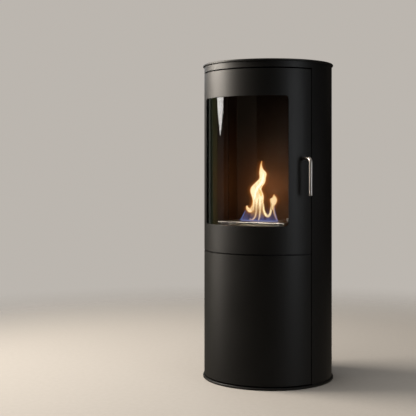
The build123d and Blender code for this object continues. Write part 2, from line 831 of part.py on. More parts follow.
with BuildPart() as damper_knob:
    peg(Plane(origin=(knob_x, knob_y, damper_top)), knob_stem, burner_top - damper_top + sheet)
    peg(Plane(origin=(knob_x, knob_y, burner_top + sheet)), knob_diameter, knob_height)
    fillet(damper_knob.edges().group_by(Axis.Z)[-1], radius=sheet / 2)
save(damper_knob.part, "damper_knob")

print("door pivot", [round(value, 3) for value in around(-pivot_angle, pivot_radius)])
print("door swing", door_swing, "damper travel", round(damper_travel, 3))
print("latch axis point", [round(value, 3) for value in around(post_angle, latch_radius, latch_level)])
print("latch axis direction", round(cos(radians(post_angle)), 6), round(sin(radians(post_angle)), 6))
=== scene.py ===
# %% [markdown]
# # A round bioethanol fireplace
#
# The real object is a rolled steel cylinder in satin black paint, with a curved window, a
# burner tray behind it and a bent steel rod as its handle. Its solid parts come from the
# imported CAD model, in metres, with the floor at z = 0 and the doors facing -Y. This lesson
# gives each part its finish, adds the flame, and lights the whole as a small studio would.

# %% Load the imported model
import json
from math import atan2, cos, degrees, pi, radians, sin, tan

import bmesh
import bpy
from mathutils import Matrix, Vector


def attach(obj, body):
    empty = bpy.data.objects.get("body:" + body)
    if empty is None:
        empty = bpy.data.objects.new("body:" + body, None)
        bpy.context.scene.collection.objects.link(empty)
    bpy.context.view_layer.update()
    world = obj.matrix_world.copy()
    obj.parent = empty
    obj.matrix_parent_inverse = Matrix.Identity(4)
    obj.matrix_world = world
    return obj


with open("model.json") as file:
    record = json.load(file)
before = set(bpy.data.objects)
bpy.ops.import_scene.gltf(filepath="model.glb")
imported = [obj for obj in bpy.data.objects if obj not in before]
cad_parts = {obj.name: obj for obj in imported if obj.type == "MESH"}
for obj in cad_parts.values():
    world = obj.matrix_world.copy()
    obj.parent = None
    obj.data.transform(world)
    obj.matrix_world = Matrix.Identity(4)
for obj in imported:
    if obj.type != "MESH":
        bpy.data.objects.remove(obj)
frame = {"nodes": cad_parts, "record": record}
nodes = frame["nodes"]
scene = bpy.context.scene
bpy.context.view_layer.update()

# %% [markdown]
# ## Camera
#
# The photograph was taken from the right of the doors, about 3.2 m away and with the lens
# at two thirds of the stove's height. All uprights in it are parallel, so the camera looks
# level, and the frame is moved down with the lens shift instead of tilting the camera.

# %% Camera
lens_place = Vector((1.461, -2.867, 0.720))
lens_turn = radians(30.7)
focal_length = 80.1
sensor_width = 36.0
frame_shift = -0.096
camera_data = bpy.data.cameras.new("camera")
camera_data.lens = focal_length
camera_data.sensor_width = sensor_width
camera_data.shift_y = frame_shift
camera = bpy.data.objects.new("camera", camera_data)
camera.location = lens_place
camera.rotation_euler = (pi / 2, 0, lens_turn)
scene.collection.objects.link(camera)
scene.camera = camera
scene.view_settings.view_transform = "Standard"
lens_side = degrees(atan2(lens_place.x, -lens_place.y))
print("camera", round(lens_place.xy.length, 3), "m from the axis")
print("camera", round(lens_side, 1), "degrees to the right of the doors")

# %% [markdown]
# ## Shader maths as Python
#
# Node trees are long to write socket by socket. One small class wraps a socket, so that a
# sum or a product of two of them adds the Math node that does it, and one method makes any
# other node from its type, its settings and its inputs. A finish then reads like a formula.


# %% The socket wrapper
class Value:
    """An output socket that takes part in sums and products."""

    def __init__(self, finish, socket):
        self.finish = finish
        self.socket = socket

    def maths(self, operation, first, second):
        return self.finish.node("ShaderNodeMath", {"operation": operation}, {0: first, 1: second})

    def __add__(self, other):
        return self.maths("ADD", self, other)

    def __sub__(self, other):
        return self.maths("SUBTRACT", self, other)

    def __rsub__(self, other):
        return self.maths("SUBTRACT", other, self)

    def __mul__(self, other):
        return self.maths("MULTIPLY", self, other)

    def __truediv__(self, other):
        return self.maths("DIVIDE", self, other)

    __radd__ = __add__
    __rmul__ = __mul__

    def smaller(self, other):
        return self.maths("MINIMUM", self, other)

    def larger(self, other):
        return self.maths("MAXIMUM", self, other)

    def rise(self, start, end):
        """0 before start, 1 after end, and a soft step between them."""
        settings = {"interpolation_type": "SMOOTHSTEP"}
        return self.finish.node("ShaderNodeMapRange", settings, {"Value": self, 1: start, 2: end})


def rgb(colour):
    """A plain colour gets the fourth value that Blender's sockets want."""
    return colour if isinstance(colour, Value) else (*colour, 1.0)


print("operators ready")

# %% [markdown]
# A finish is a material that starts empty. Its patterns read Object coordinates, which are
# the model's own metres here, so grain keeps its real size on every piece. Only the sockets
# that an exported model can carry vary over a surface. A few nodes have several sockets of
# one name, and those are given by number: 6 and 7 are the two colours of a Mix node.


# %% The finish builder
class Finish:
    """A material, or the world, built from formulas."""

    def __init__(self, name, world=False):
        kind = bpy.data.worlds if world else bpy.data.materials
        self.data = kind.new(name)
        self.data.use_nodes = True
        self.tree = self.data.node_tree
        self.tree.nodes.clear()
        output = "ShaderNodeOutputWorld" if world else "ShaderNodeOutputMaterial"
        self.output = self.tree.nodes.new(output)

    def plug(self, socket, value):
        """Link a Value to a socket, or write a plain number or colour into it."""
        if isinstance(value, Value):
            self.tree.links.new(value.socket, socket)
        else:
            socket.default_value = value

    def node(self, kind, settings=None, inputs=None, out=0):
        """Add a node: its settings first, then its sockets, by number or name."""
        made = self.tree.nodes.new(kind)
        for name, setting in (settings or {}).items():
            if name == "stops":
                self.fill_ramp(made.color_ramp.elements, setting)
            else:
                setattr(made, name, setting)
        for name, value in (inputs or {}).items():
            self.plug(made.inputs[name], value)
        return Value(self, made.outputs[out])

    def fill_ramp(self, ramp, stops):
        """Give a colour ramp its places and colours."""
        while len(ramp) < len(stops):
            ramp.new(0.5)
        for stop, (place, colour) in zip(ramp, stops):
            stop.position = place
            stop.color = rgb(colour)

    def place(self, stretch=(1, 1, 1)):
        """Object coordinates, stretched so that a pattern runs the way the grain does."""
        point = self.node("ShaderNodeTexCoord", out="Object")
        return self.node("ShaderNodeMapping", None, {"Vector": point, "Scale": stretch})

    def noise(self, scale, detail=2.0, roughness=0.5, stretch=(1, 1, 1)):
        """Soft noise from 0 to 1, with about that many blobs to a metre."""
        inputs = {
            "Vector": self.place(stretch), "Scale": scale, "Detail": detail, "Roughness": roughness,
        }
        return self.node("ShaderNodeTexNoise", None, inputs)

    def axis(self, number):
        """One of the three Object coordinates, in metres."""
        point = self.node("ShaderNodeTexCoord", out="Object")
        return self.node("ShaderNodeSeparateXYZ", None, {"Vector": point}, number)

    def mix(self, share, first, second):
        """Blend two colours by a share from 0 to 1."""
        inputs = {0: share, 6: rgb(first), 7: rgb(second)}
        return self.node("ShaderNodeMix", {"data_type": "RGBA"}, inputs, 2)

    def bump(self, height, depth):
        """A normal from a height between 0 and 1 and the real depth that 1 stands for."""
        inputs = {"Strength": 1.0, "Distance": depth, "Height": height}
        return self.node("ShaderNodeBump", None, inputs)

    def principled(self, **sockets):
        """End the material in one Principled shader."""
        inputs = {}
        for name, value in sockets.items():
            title = name.replace("_", " ").title().replace("Ior", "IOR")
            inputs[title] = value
        self.plug(self.output.inputs[0], self.node("ShaderNodeBsdfPrincipled", None, inputs))
        return self.data


print("finish builder ready")

# %% [markdown]
# ## Satin black paint
#
# The body is powder coated: nearly black, with a soft sheen that turns each curve into a
# broad band of light. A coat like that has a faint orange peel, a fraction of a millimetre
# from bump to bump, and its sheen is never quite even. Base colour alone would look like
# plastic, so fine noise moves the roughness and lifts the normals a few microns.

# %% Outer paint
paint = Finish("satin_black_paint")
haze = paint.noise(9.0, detail=3.0)
peel = paint.noise(900.0, detail=1.0)
stove_paint = paint.principled(
    base_color=paint.mix(haze, (0.0052, 0.0047, 0.0042), (0.0078, 0.0072, 0.0066)),
    roughness=0.42 + haze * 0.08,
    normal=paint.bump(peel, 0.00004),
    ior=1.5,
    specular_ior_level=0.38,
)
print(stove_paint.name)

# %% [markdown]
# The folded parts inside get a thinner, flatter coat of the same black, and the fire chamber
# a brown-black heat-proof coat. That coat gets darker and rougher with the height over the
# flame, and it is darker on the two side panels all the way up.

# %% Inner and chamber paint
flat = Finish("flat_black_paint")
flat_haze = flat.noise(14.0, detail=3.0)
inner_paint = flat.principled(
    base_color=flat.mix(flat_haze, (0.013, 0.0125, 0.012), (0.02, 0.019, 0.018)),
    roughness=0.58 + flat_haze * 0.1,
    normal=flat.bump(flat.noise(700.0, detail=1.0), 0.00004),
)

darkening_start = 0.60
darkening_end = 0.92
back_edge = 0.1523
side_panel = 0.1536
heat = Finish("heat_proof_paint")
rising = heat.axis(2).rise(darkening_start, darkening_end) * (0.6 + heat.noise(7.0, detail=4.0) * 0.6)
sides = (heat.axis(0) * heat.axis(0)).rise(back_edge**2, side_panel**2) * 0.75
# darker with the height over the flame and on the two side panels
chamber_darkening = rising.larger(sides).smaller(1.0)
chamber_paint = heat.principled(
    base_color=heat.mix(chamber_darkening, (0.060, 0.039, 0.0255), (0.0195, 0.0145, 0.0105)),
    roughness=0.44 + chamber_darkening * 0.2,
    normal=heat.bump(heat.noise(500.0, detail=2.0), 0.00005),
    specular_ior_level=0.12,
)
print(inner_paint.name, chamber_paint.name)

# %% [markdown]
# ## Bare metals
#
# The burner and the handle are brushed stainless steel. The brush leaves fine lines along
# the tray and along the handle's rod, so the noise is stretched thirty to forty times in
# that direction, and it drives the colour, the roughness and a bump of a hundredth of a
# millimetre.


# %% Brushed steel
def brushed(name, dark, light, along, roughness, wear_and_shade=None):
    """Stainless steel with its brush lines along one direction, and its wear and painted shade."""
    steel = Finish(name)
    lines = steel.noise(1400.0, detail=2.0, roughness=0.7, stretch=along)
    smudge = steel.noise(22.0, detail=3.0)
    colour = steel.mix(lines, dark, light)
    dullness = roughness + lines * 0.12 + smudge * 0.06
    if wear_and_shade is not None:
        colour, dullness = wear_and_shade(steel, smudge, colour, dullness)
    return steel.principled(
        base_color=colour,
        metallic=1.0,
        roughness=dullness,
        normal=steel.bump(lines, 0.00001),
    )


handle_lines = (1, 1, 0.03)
handle_steel = brushed(
    "brushed_handle_steel", (0.52, 0.48, 0.45), (0.66, 0.62, 0.59), handle_lines, 0.26,
)
print(handle_steel.name)

# %% [markdown]
# Heat leaves straw-coloured patches round the flame slot. The tray's front face is ground
# smoother than its top. Its lower part is darkened with painted shade, most on the left, and
# the front edge at the left end is darkened with painted shade too, to dim its highlight. All
# of that is placed by its distance behind the tray's front and below its top, which are both
# measured on the CAD part.

# %% Burner steel
tray = nodes["burner_cover"].data.vertices
tray_front = min(point.co.y for point in tray)
tray_top = max(point.co.z for point in tray)
slot_reach = 0.1054
straw = (0.52, 0.41, 0.27)
ground_steel = (0.60, 0.56, 0.51)
# near-black colour of the painted shade on the tray's front
tray_shade_colour = (0.03, 0.026, 0.022)


def tray_wear_and_shade(steel, smudge, colour, dullness):
    """Straw tint round the slot, a smooth front face, and painted shade on its front."""
    across = steel.axis(0)
    behind = steel.axis(1) - tray_front
    below = tray_top - steel.axis(2)
    near = across / slot_reach
    warm = (1.0 - (near * near).smaller(1.0)) * (0.35 + smudge * 0.6)
    colour = steel.mix(warm.smaller(1.0), colour, straw)
    face = behind.rise(0.0006, 0.0003) * below.rise(0.011, 0.003)
    colour = steel.mix(face, colour, ground_steel)
    leftwards = 0.25 + across.rise(0.115, -0.02) * 0.62
    # painted shade on the lower part of the front face, strongest on the left
    painted_face_shade = face * below.rise(0.0018, 0.0065) * leftwards
    # painted shade on the front few millimetres of the left end, which dims the front edge's highlight
    painted_edge_shade = behind.rise(0.0063, 0.0033) * across.rise(0.03, -0.06) * 0.55
    colour = steel.mix(painted_face_shade.larger(painted_edge_shade), colour, tray_shade_colour)
    return colour, dullness - face * 0.12


tray_lines = (0.025, 1, 1)
burner_steel = brushed(
    "brushed_burner_steel", (0.42, 0.40, 0.37), (0.62, 0.60, 0.57), tray_lines, 0.24, wear_and_shade=tray_wear_and_shade,
)
print(burner_steel.name, "front", round(tray_front, 4), "top", round(tray_top, 4))

# %% [markdown]
# Screws, pins and the latch spring are zinc plated, which looks like a fine mottle of
# crystals more than like brush lines. The door bushes are turned brass. Both are small, so
# a mottle at a millimetre or two is all the detail that can be seen.


# %% Plated and turned metal
def mottled(name, first, second, roughness, scale):
    """Plated or turned metal, with a small even mottle."""
    metal = Finish(name)
    spots = metal.node("ShaderNodeTexVoronoi", None, {"Vector": metal.place(), "Scale": scale})
    fine = metal.noise(1200.0, detail=1.0)
    return metal.principled(
        base_color=metal.mix((spots * 1.2).smaller(1.0), first, second),
        metallic=1.0,
        roughness=roughness + fine * 0.12,
        normal=metal.bump(fine, 0.00001),
    )


zinc = mottled("zinc_plate", (0.42, 0.43, 0.42), (0.58, 0.58, 0.55), 0.3, 700.0)
bush_brass = mottled("turned_brass", (0.62, 0.46, 0.22), (0.74, 0.58, 0.32), 0.26, 900.0)
print(zinc.name, bush_brass.name)

# %% [markdown]
# ## Plastics
#
# The magnet's case and the push latch are moulded black plastic with a light spark-eroded
# grain. The washer under the handle has the same fine grain in a deeper black.


# %% Plastics
def moulded(name, colour, lighter, roughness):
    """Moulded plastic with a fine grain."""
    plastic = Finish(name)
    grain = plastic.noise(1500.0, detail=2.0)
    return plastic.principled(
        base_color=plastic.mix(grain, colour, lighter),
        roughness=roughness + grain * 0.1,
        normal=plastic.bump(grain, 0.00002),
    )


latch_plastic = moulded("moulded_black_plastic", (0.018, 0.018, 0.018), (0.03, 0.03, 0.03), 0.45)
magnet_case = moulded("magnet_case", (0.022, 0.02, 0.019), (0.034, 0.032, 0.03), 0.55)
rosette_black = moulded("black_rosette", (0.007, 0.007, 0.007), (0.011, 0.011, 0.011), 0.42)
print(latch_plastic.name, magnet_case.name, rosette_black.name)

# %% [markdown]
# ## Gasket and wool
#
# The glass lies on a flat woven glass-fibre tape, drawn here by two crossed waves. The tank
# is packed with white ceramic wool, a soft lumpy felt: fine noise for its fibres and coarse
# noise for its lumps, both in the colour and in the bump.

# %% Gasket and wool
tape = Finish("glass_fibre_tape")
weave_inputs = {"Vector": tape.place(), "Scale": 500.0, "Distortion": 0.4}
across_tape = tape.node("ShaderNodeTexWave", {"bands_direction": "X"}, weave_inputs, 1)
up_tape = tape.node("ShaderNodeTexWave", {"bands_direction": "Z"}, weave_inputs, 1)
weave = across_tape * up_tape
gasket_tape = tape.principled(
    base_color=tape.mix(weave, (0.012, 0.0115, 0.011), (0.035, 0.034, 0.032)),
    roughness=0.85,
    normal=tape.bump(weave, 0.0002),
)

felt = Finish("ceramic_wool")
fibres = felt.noise(260.0, detail=5.0, roughness=0.65)
lumps = felt.noise(45.0, detail=3.0)
ceramic_wool = felt.principled(
    base_color=felt.mix(fibres * 0.6 + lumps * 0.4, (0.60, 0.57, 0.52), (0.82, 0.80, 0.76)),
    roughness=0.92,
    normal=felt.bump(fibres * 0.5 + lumps * 0.5, 0.0015),
)
print(gasket_tape.name, ceramic_wool.name)

# %% [markdown]
# ## Glass
#
# The window is 4 mm of clear heat-proof glass, rolled to the body's curve. A transmitting
# shader with the index of that glass gives its two mirror images and the dark edge. A very
# slight waviness keeps its reflections from looking drawn with a ruler.

# %% Glass
clear = Finish("clear_glass")
door_glass = clear.principled(
    base_color=(0.97, 0.985, 0.97, 1.0),
    roughness=0.0,
    ior=1.47,
    transmission_weight=1.0,
    normal=clear.bump(clear.noise(3.0, detail=0.0), 0.000004),
)
print(door_glass.name)

# %% [markdown]
# ## Dress the CAD parts
#
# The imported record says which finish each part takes. Each node's material slots are
# refilled from it, and a missing finish stops the script instead of leaving a grey part.

# %% Dress the CAD parts
finishes = {
    "stove_paint": stove_paint, "inner_paint": inner_paint, "chamber_paint": chamber_paint,
    "zinc": zinc, "bush_brass": bush_brass, "glass": door_glass, "gasket": gasket_tape,
    "handle_steel": handle_steel, "rosette_black": rosette_black, "magnet": magnet_case,
    "latch_plastic": latch_plastic, "burner_steel": burner_steel, "ceramic_wool": ceramic_wool,
}
slot_of = {part["node"]: part["material_slot"] for part in frame["record"]["subparts"]}
for name, node in nodes.items():
    node.data.materials.clear()
    node.data.materials.append(finishes[slot_of[name]])
print("dressed", len(slot_of), "parts in", len(set(slot_of.values())), "finishes")

# %% [markdown]
# ## The flame
#
# A bioethanol flame is a thin bright sheet of hot soot around a hollow, with a blue skirt
# where the vapour burns clean. It is built as closed shells, one inside the other: rings
# of points are set up the flame and bridged, so a list of heights and half widths is all
# that a tongue needs. Its sizes are in millimetres, because they are all small.


# %% Tongue builder
def finished(name, form, material, levels=1):
    """Turn a bmesh into a smooth piece at the origin."""
    mesh = bpy.data.meshes.new(name)
    form.to_mesh(mesh)
    form.free()
    mesh.polygons.foreach_set("use_smooth", [True] * len(mesh.polygons))
    mesh.materials.append(material)
    piece = bpy.data.objects.new(name, mesh)
    scene.collection.objects.link(piece)
    if levels:
        soft = piece.modifiers.new("smooth", "SUBSURF")
        soft.levels = levels
        soft.render_levels = levels
    return piece


thinnest = 0.15


def tongue(name, stations, material, swell=0.0, points=20):
    """A closed shell through rings: centre, half width, half depth and lean in degrees."""
    form = bmesh.new()
    loops = []
    for centre, half_width, half_depth, lean in stations:
        wide = max(half_width + swell, thinnest) / 1000
        deep = max(half_depth + swell, thinnest) / 1000
        shape = Matrix.Rotation(radians(lean), 4, "Y") @ Matrix.Diagonal((wide, deep, 1, 1))
        made = bmesh.ops.create_circle(
            form, cap_ends=False, radius=1, segments=points,
            matrix=Matrix.Translation(Vector(centre) / 1000) @ shape,
        )
        edges = dict.fromkeys(edge for vertex in made["verts"] for edge in vertex.link_edges)
        loops.append(list(edges))
    for lower, upper in zip(loops, loops[1:]):
        bmesh.ops.bridge_loops(form, edges=lower + upper)
    for end in (loops[0], loops[-1]):
        bmesh.ops.edgeloop_fill(form, edges=end)
    bmesh.ops.recalc_face_normals(form, faces=form.faces)
    return finished(name, form, material)


print("tongue builder ready")

# %% [markdown]
# Two kinds of rings are enough. Level rings suit a tongue that stands up: each has a
# height and the left and right edges that the eye sees. The camera looks at the slot from
# one side, so a deep ring looks wider than it is, and its half width is made smaller by
# that much. A rope's rings are set square to a path instead, so it can hang and turn back.

# %% Rings of the flame
slot_y = -69.0
side_look = 0.35  # the square of the tangent of the camera's turn


def upright_tongue(stations, depth=0.5):
    """Level rings over the slot, from heights and left and right edges."""
    rings = []
    for z, left, right in stations:
        half = (right - left) / 2 / (1 + side_look * depth * depth) ** 0.5
        rings.append((((left + right) / 2, slot_y, z), half, max(half * depth, 0.2), 0))
    return rings


def rope(path, half_widths, depth=0.8, middle_y=slot_y):
    """Rings square to a path of x, z pairs in an upright plane."""
    rings = []
    for number, (x, z) in enumerate(path):
        before = path[max(number - 1, 0)]
        after = path[min(number + 1, len(path) - 1)]
        lean = degrees(atan2(after[0] - before[0], after[1] - before[1]))
        half = half_widths[number]
        rings.append(((x, middle_y, z), half, half * depth, lean))
    return rings


print("slot at y", slot_y, "mm")

# %% [markdown]
# Fire gives light instead of catching it, so its shader is black but for its emission. The
# colour follows the height, from blue-violet at the slot to cream, with a few golden folds,
# and the shell thins out towards its foot by way of Alpha. Many thin shells overlap here,
# so a ray may pass through 32 of them instead of Cycles' usual 8, past which it turns dark.

# %% Fire finish
scene.cycles.transparent_max_bounces = 32
fold_gold = (0.84, 0.52, 0.14)


def fire(name, low, high, stops, alpha, folds=0.0, bright=1.0, wisps=0.0):
    """A glowing veil whose colour and density follow its height."""
    veil = Finish(name)
    height = (veil.axis(2) - low) / (high - low)
    glow = veil.node("ShaderNodeValToRGB", {"stops": stops}, {0: height})
    drawn = veil.noise(95.0, detail=1.0, stretch=(1, 1, 0.28))
    if folds:
        glow = veil.mix(drawn.rise(0.56, 0.72) * folds, glow, fold_gold)
    greys = [(place, (share, share, share)) for place, share in alpha]
    density = veil.node("ShaderNodeValToRGB", {"stops": greys}, {0: height})
    if wisps:
        density = density * (1.0 - wisps + drawn.rise(0.35, 0.65) * 1.8 * wisps)
    return veil.principled(
        base_color=(0, 0, 0, 1),
        roughness=1.0,
        specular_ior_level=0.0,
        emission_color=glow,
        emission_strength=bright,
        alpha=density,
    )


print("see-through surfaces in a row", scene.cycles.transparent_max_bounces)

# %% [markdown]
# A tongue is six shells of the same rings. The three outer ones are a faint orange glow in
# the air, the fourth is the thin orange edge, and the two inner ones are the cream body.
# Nested like that, the tongue has its soft edge from every side.

# %% Nested shells
thin_foot = [
    (0.0, 0.0), (0.08, 0.08), (0.14, 0.22), (0.19, 0.5), (0.24, 0.88), (0.30, 1.0), (1.0, 1.0),
]
ember = (0.5, 0.14, 0.03)
shell_kinds = [  # name, how far it stands off, foot, body and tip colours, density, folds
    ("glow", 11.0, ember, (1.0, 0.30, 0.05), (1.0, 0.25, 0.03), 0.022, 0.0),
    ("halo", 6.0, ember, (1.0, 0.30, 0.05), (1.0, 0.25, 0.03), 0.022, 0.0),
    ("rim", 2.6, ember, (1.0, 0.32, 0.05), (1.0, 0.25, 0.03), 0.03, 0.0),
    ("edge", 0.9, (0.42, 0.19, 0.07), (1.05, 0.50, 0.13), (1.0, 0.42, 0.07), 0.24, 0.0),
    ("mantle", -0.9, (0.58, 0.28, 0.09), (1.3, 1.05, 0.62), (1.15, 0.72, 0.28), 0.5, 0.4),
    ("core", -2.8, (0.70, 0.38, 0.14), (1.65, 1.46, 1.05), (1.3, 0.95, 0.48), 0.95, 0.6),
]


def shells(name, low, high, bright=1.0, gold=1.0):
    """The shells of a tongue: how far each stands off, and its own finish."""
    layers = {}
    for layer, swell, foot, (red, green, blue), tip, density, folds in shell_kinds:
        body = (red, green * (0.6 + 0.4 * gold), blue * gold)
        stops = [(0.0, foot), (0.15, foot), (0.28, body), (0.80, body), (1.0, tip)]
        alpha = [(place, share * density) for place, share in thin_foot]
        layers[layer] = swell, fire(f"flame_{name}_{layer}", low, high, stops, alpha, folds, bright)
    return layers


def layered(name, rings, layers, points=20):
    """The same rings once for each layer, each shell a little smaller than the last."""
    return [
        tongue(f"flame_{name}_{layer}", rings, finish, swell=swell, points=points)
        for layer, (swell, finish) in layers.items()
    ]


print("shells to a tongue", len(shell_kinds))

# %% [markdown]
# The main tongue leans left over its shoulder and then licks up to a point. Its rings are
# given as the height and the left and right edges in the plane of the burner's slot.

# %% Main tongue
main_edges = [
    (548, -33, 27), (556, -34, 25.5), (565, -33.5, 23.5), (576, -29, 20.5), (586, -25.8, 19.2),
    (594, -24.2, 18.6), (606, -23.6, 19.6), (618, -25, 21.6), (629, -29.8, 20.6), (638, -33, 16),
    (645, -33.2, 12.4), (652, -31.6, 12.4), (658, -28, 16), (665, -19, 22.4), (672, -11.6, 26.4),
    (680, -1.4, 27.8), (684, 2.0, 28.2), (690, 2.8, 29.4), (697, 1.8, 31.2), (702, 1.4, 31.6),
    (707, 1.8, 28.5), (711, 2.2, 23), (717, 3.2, 17.6), (725, 4.8, 14.6), (733, 7.0, 12.8),
    (740, 9.8, 13.0), (745.2, 12.2, 12.6),
]
flame = layered("main", upright_tongue(main_edges), shells("main", 0.545, 0.745))
print("main tongue", main_edges[0][0], "to", main_edges[-1][0], "mm")

# %% [markdown]
# Two small tongues flank the main one. The left one is drawn down and curls up again, so
# it is made as a thick rope, and the right one stands up and ends in a small hooked tip.

# %% Side tongues
left_path = [
    (-45.6, 592.0), (-44.4, 585.1), (-40.5, 577.7), (-32.8, 573.7), (-25.6, 578.5),
    (-20.8, 588.7), (-19.0, 600.7), (-18.2, 614),
]
left_curl = rope(left_path, [2.0, 4.6, 7.4, 9.4, 8.8, 6.2, 4.0, 2.6], depth=0.7)
flame += layered("left", left_curl, shells("left", 0.535, 0.635, bright=0.95, gold=0.85))

right_edges = [
    (578, 47.2, 56.0), (584, 47.2, 56.6), (590, 47.0, 58.6), (596, 45.8, 63.0), (600.6, 44.6, 67.4),
    (606.7, 43.6, 70.2), (611, 42.8, 71.0), (614.1, 42.2, 70.9), (617.2, 43.4, 70.0),
    (618.6, 49.0, 69.2), (620.4, 51.2, 68.2), (624, 53.4, 66.0), (627, 54.8, 62.8),
    (630, 56.4, 60.4), (632.0, 57.8, 58.8),
]
right_lick = upright_tongue(right_edges, depth=0.6)
flame += layered("right", right_lick, shells("right", 0.562, 0.632, bright=0.8, gold=0.85))
print("tongues", len(flame) // len(shell_kinds))

# %% [markdown]
# Below the tongues the sheet of flame is drawn into ropes of light that hang over the slot.
# Each is a bright thread in a soft brown haze, in two shells, and it fades out at its upper
# end, where it runs into a tongue. The threads differ a little in brightness and tint.


# %% Rope builder
rope_points = 12


def strand(name, bright, low, tint):
    """The two finishes of a rope of light, from its low end to 90 mm above it."""
    high = low + 0.09
    warm = [
        (0.0, (0.35, 0.30, 0.55)), (0.2, (0.55, 0.32, 0.24)),
        (0.45, (0.75, 0.40, 0.15)), (1.0, (0.9, 0.5, 0.2)),
    ]
    light = [
        (0.0, (0.60, 0.58, 0.85)), (0.15, (0.95, 0.78, 0.70)),
        (0.35, (1.25, 0.98, 0.66)), (0.55, (1.45, 1.25, 0.82)),
    ]
    light = [(place, tuple(c * t for c, t in zip(colour, tint))) for place, colour in light]
    veil = [(0.0, 0.1), (0.25, 0.34), (0.7, 0.34), (1.0, 0.0)]
    core = [(0.0, 0.45), (0.2, 0.92), (0.7, 0.92), (1.0, 0.0)]
    outer = fire(f"{name}_haze", low, high, warm, veil)
    inner = fire(f"{name}_thread", low, high, light, core, bright=bright)
    return {"haze": (2.0, outer), "thread": (-0.2, inner)}


def light_rope(name, path, half_widths, bright, low, tint):
    """A rope of light along its path, in both of its shells."""
    finish = strand(f"flame_rope_{name}", bright, low, tint)
    return layered(f"rope_{name}", rope(path, half_widths), finish, points=rope_points)


print("rope builder ready")

# %% [markdown]
# The first rope is the curl that hangs between the main tongue and the right one. The next
# three run from the main tongue down to the slot or over to the left curl, and the last is
# the thin line under the right tongue. Each path was drawn, so its points stay a list, with
# a half width at every point.

# %% Ropes of light
tongues = len(flame)
flame += light_rope(
    "curl",
    [(18.6, 622), (18.1, 600), (18.4, 584.5), (20.3, 573.4), (24.5, 564.5), (30.2, 558.2),
     (35.3, 556.3), (41.4, 560.0), (45.8, 568.8), (48.4, 585), (49.6, 602)],
    [1.2, 2.4, 2.7, 3.0, 3.6, 4.2, 4.6, 4.0, 3.0, 2.5, 1.2],
    bright=1.05, low=0.513, tint=(1, 1, 0.9),
)
flame += light_rope(
    "left",
    [(-8.8, 618), (-8.4, 601), (-8.0, 587.3), (-8.4, 575.3), (-10.4, 563.3), (-13.1, 554.4),
     (-18.1, 546.8), (-24.6, 542.5), (-30.8, 543.3), (-34.7, 547.3)],
    [1.6, 2.4, 2.4, 2.3, 2.2, 2.1, 2.1, 2.0, 1.7, 1.0],
    bright=0.8, low=0.522, tint=(1, 0.93, 0.95),
)
flame += light_rope(
    "stream",
    [(-19.2, 632), (-17.4, 614), (-17.8, 599), (-20.6, 586.9), (-28.0, 577.9), (-36.0, 573.0)],
    [1.5, 2.4, 2.6, 3.4, 4.8, 4.6],
    bright=1.1, low=0.545, tint=(1, 0.97, 0.88),
)
flame += light_rope(
    "middle",
    [(8.1, 622), (6.9, 600), (6.3, 585), (5.8, 570.6), (4.2, 560.3), (3.1, 551.8), (1.2, 545.4),
     (-1.4, 540.2)],
    [1.6, 3.0, 3.0, 2.8, 2.4, 2.1, 1.8, 1.4],
    bright=1.0, low=0.530, tint=(1, 0.98, 0.9),
)
flame += light_rope(
    "right",
    [(55.9, 602), (56.3, 585.5), (57.8, 573.5), (62.0, 560), (67.6, 548.5), (72.6, 540)],
    [1.2, 1.8, 1.6, 1.4, 1.2, 1.0],
    bright=0.42, low=0.535, tint=(0.95, 0.92, 1.15),
)
print("rope shells", len(flame) - tongues)

# %% [markdown]
# Folds are what gives the sheet its depth: golden hollows where the eye looks along it, and
# one long pale heart up the middle. They are slim ropes that stand in front of the tongues,
# and they are so thin that they tint the light behind them instead of hiding it.

# %% Golden folds
fold_y = -86.0
fold_fire = fire(
    "flame_fold", 0.55, 0.66,
    [(0.0, (0.20, 0.10, 0.09)), (0.5, (0.46, 0.24, 0.06)), (1.0, (0.85, 0.55, 0.15))],
    [(0.0, 0.0), (0.15, 0.5), (0.6, 0.5), (1.0, 0.4)],
)
pocket_fire = fire(
    "flame_pocket", 0.61, 0.66,
    [(0.0, (0.92, 0.52, 0.09)), (1.0, (0.94, 0.58, 0.14))],
    [(0.0, 0.0), (0.3, 0.36), (0.7, 0.36), (1.0, 0.0)],
)
heart_fire = fire(
    "flame_heart", 0.58, 0.72,
    [(0.0, (1.3, 1.1, 0.7)), (0.3, (1.6, 1.55, 1.4)), (1.0, (1.6, 1.5, 1.2))],
    [(0.0, 0.0), (0.3, 0.22), (0.8, 0.2), (1.0, 0.0)],
)
folds = {
    "pocket": ([(7.6, 655), (12.0, 645), (16.8, 634), (20.2, 624)], [1.0, 5.0, 5.8, 3.0], pocket_fire),
    "pocket_depth": ([(10.0, 649), (14.2, 640), (18.4, 630)], [0.6, 2.8, 1.4], pocket_fire),
    "left": ([(-5.2, 622), (-4.5, 601.5), (-4.9, 584.6), (-6.8, 571)], [0.4, 2.0, 2.4, 1.0], fold_fire),
    "middle": ([(8.9, 618), (7.2, 600), (6.6, 582), (5.5, 566)], [1.0, 2.4, 2.8, 1.4], fold_fire),
    "right": ([(21.1, 615), (21.9, 597), (21.1, 580), (20.3, 566)], [0.4, 2.0, 2.2, 1.0], fold_fire),
    "cleft": ([(57.0, 606), (57.0, 592), (57.6, 577)], [0.4, 1.5, 1.2], fold_fire),
    "heart": (
        [(26.8, 708), (27.2, 688), (22.6, 671), (8.1, 658), (-1.0, 645), (-4.2, 629), (-7.2, 611)],
        [0.8, 3.4, 4.2, 4.4, 4.0, 3.0, 1.0], heart_fire,
    ),
}
for name, (path, half_widths, finish) in folds.items():
    rings = rope(path, half_widths, middle_y=fold_y)
    flame.append(tongue(f"flame_fold_{name}", rings, finish, points=rope_points))
print("folds", len(folds))

# %% [markdown]
# The blue skirt is one wide low shell over the whole slot, thin enough to see through and
# broken up into wisps. Its two ends show a brighter line where the eye looks along the
# sheet, and a pale line runs along its foot, so it takes three finishes.

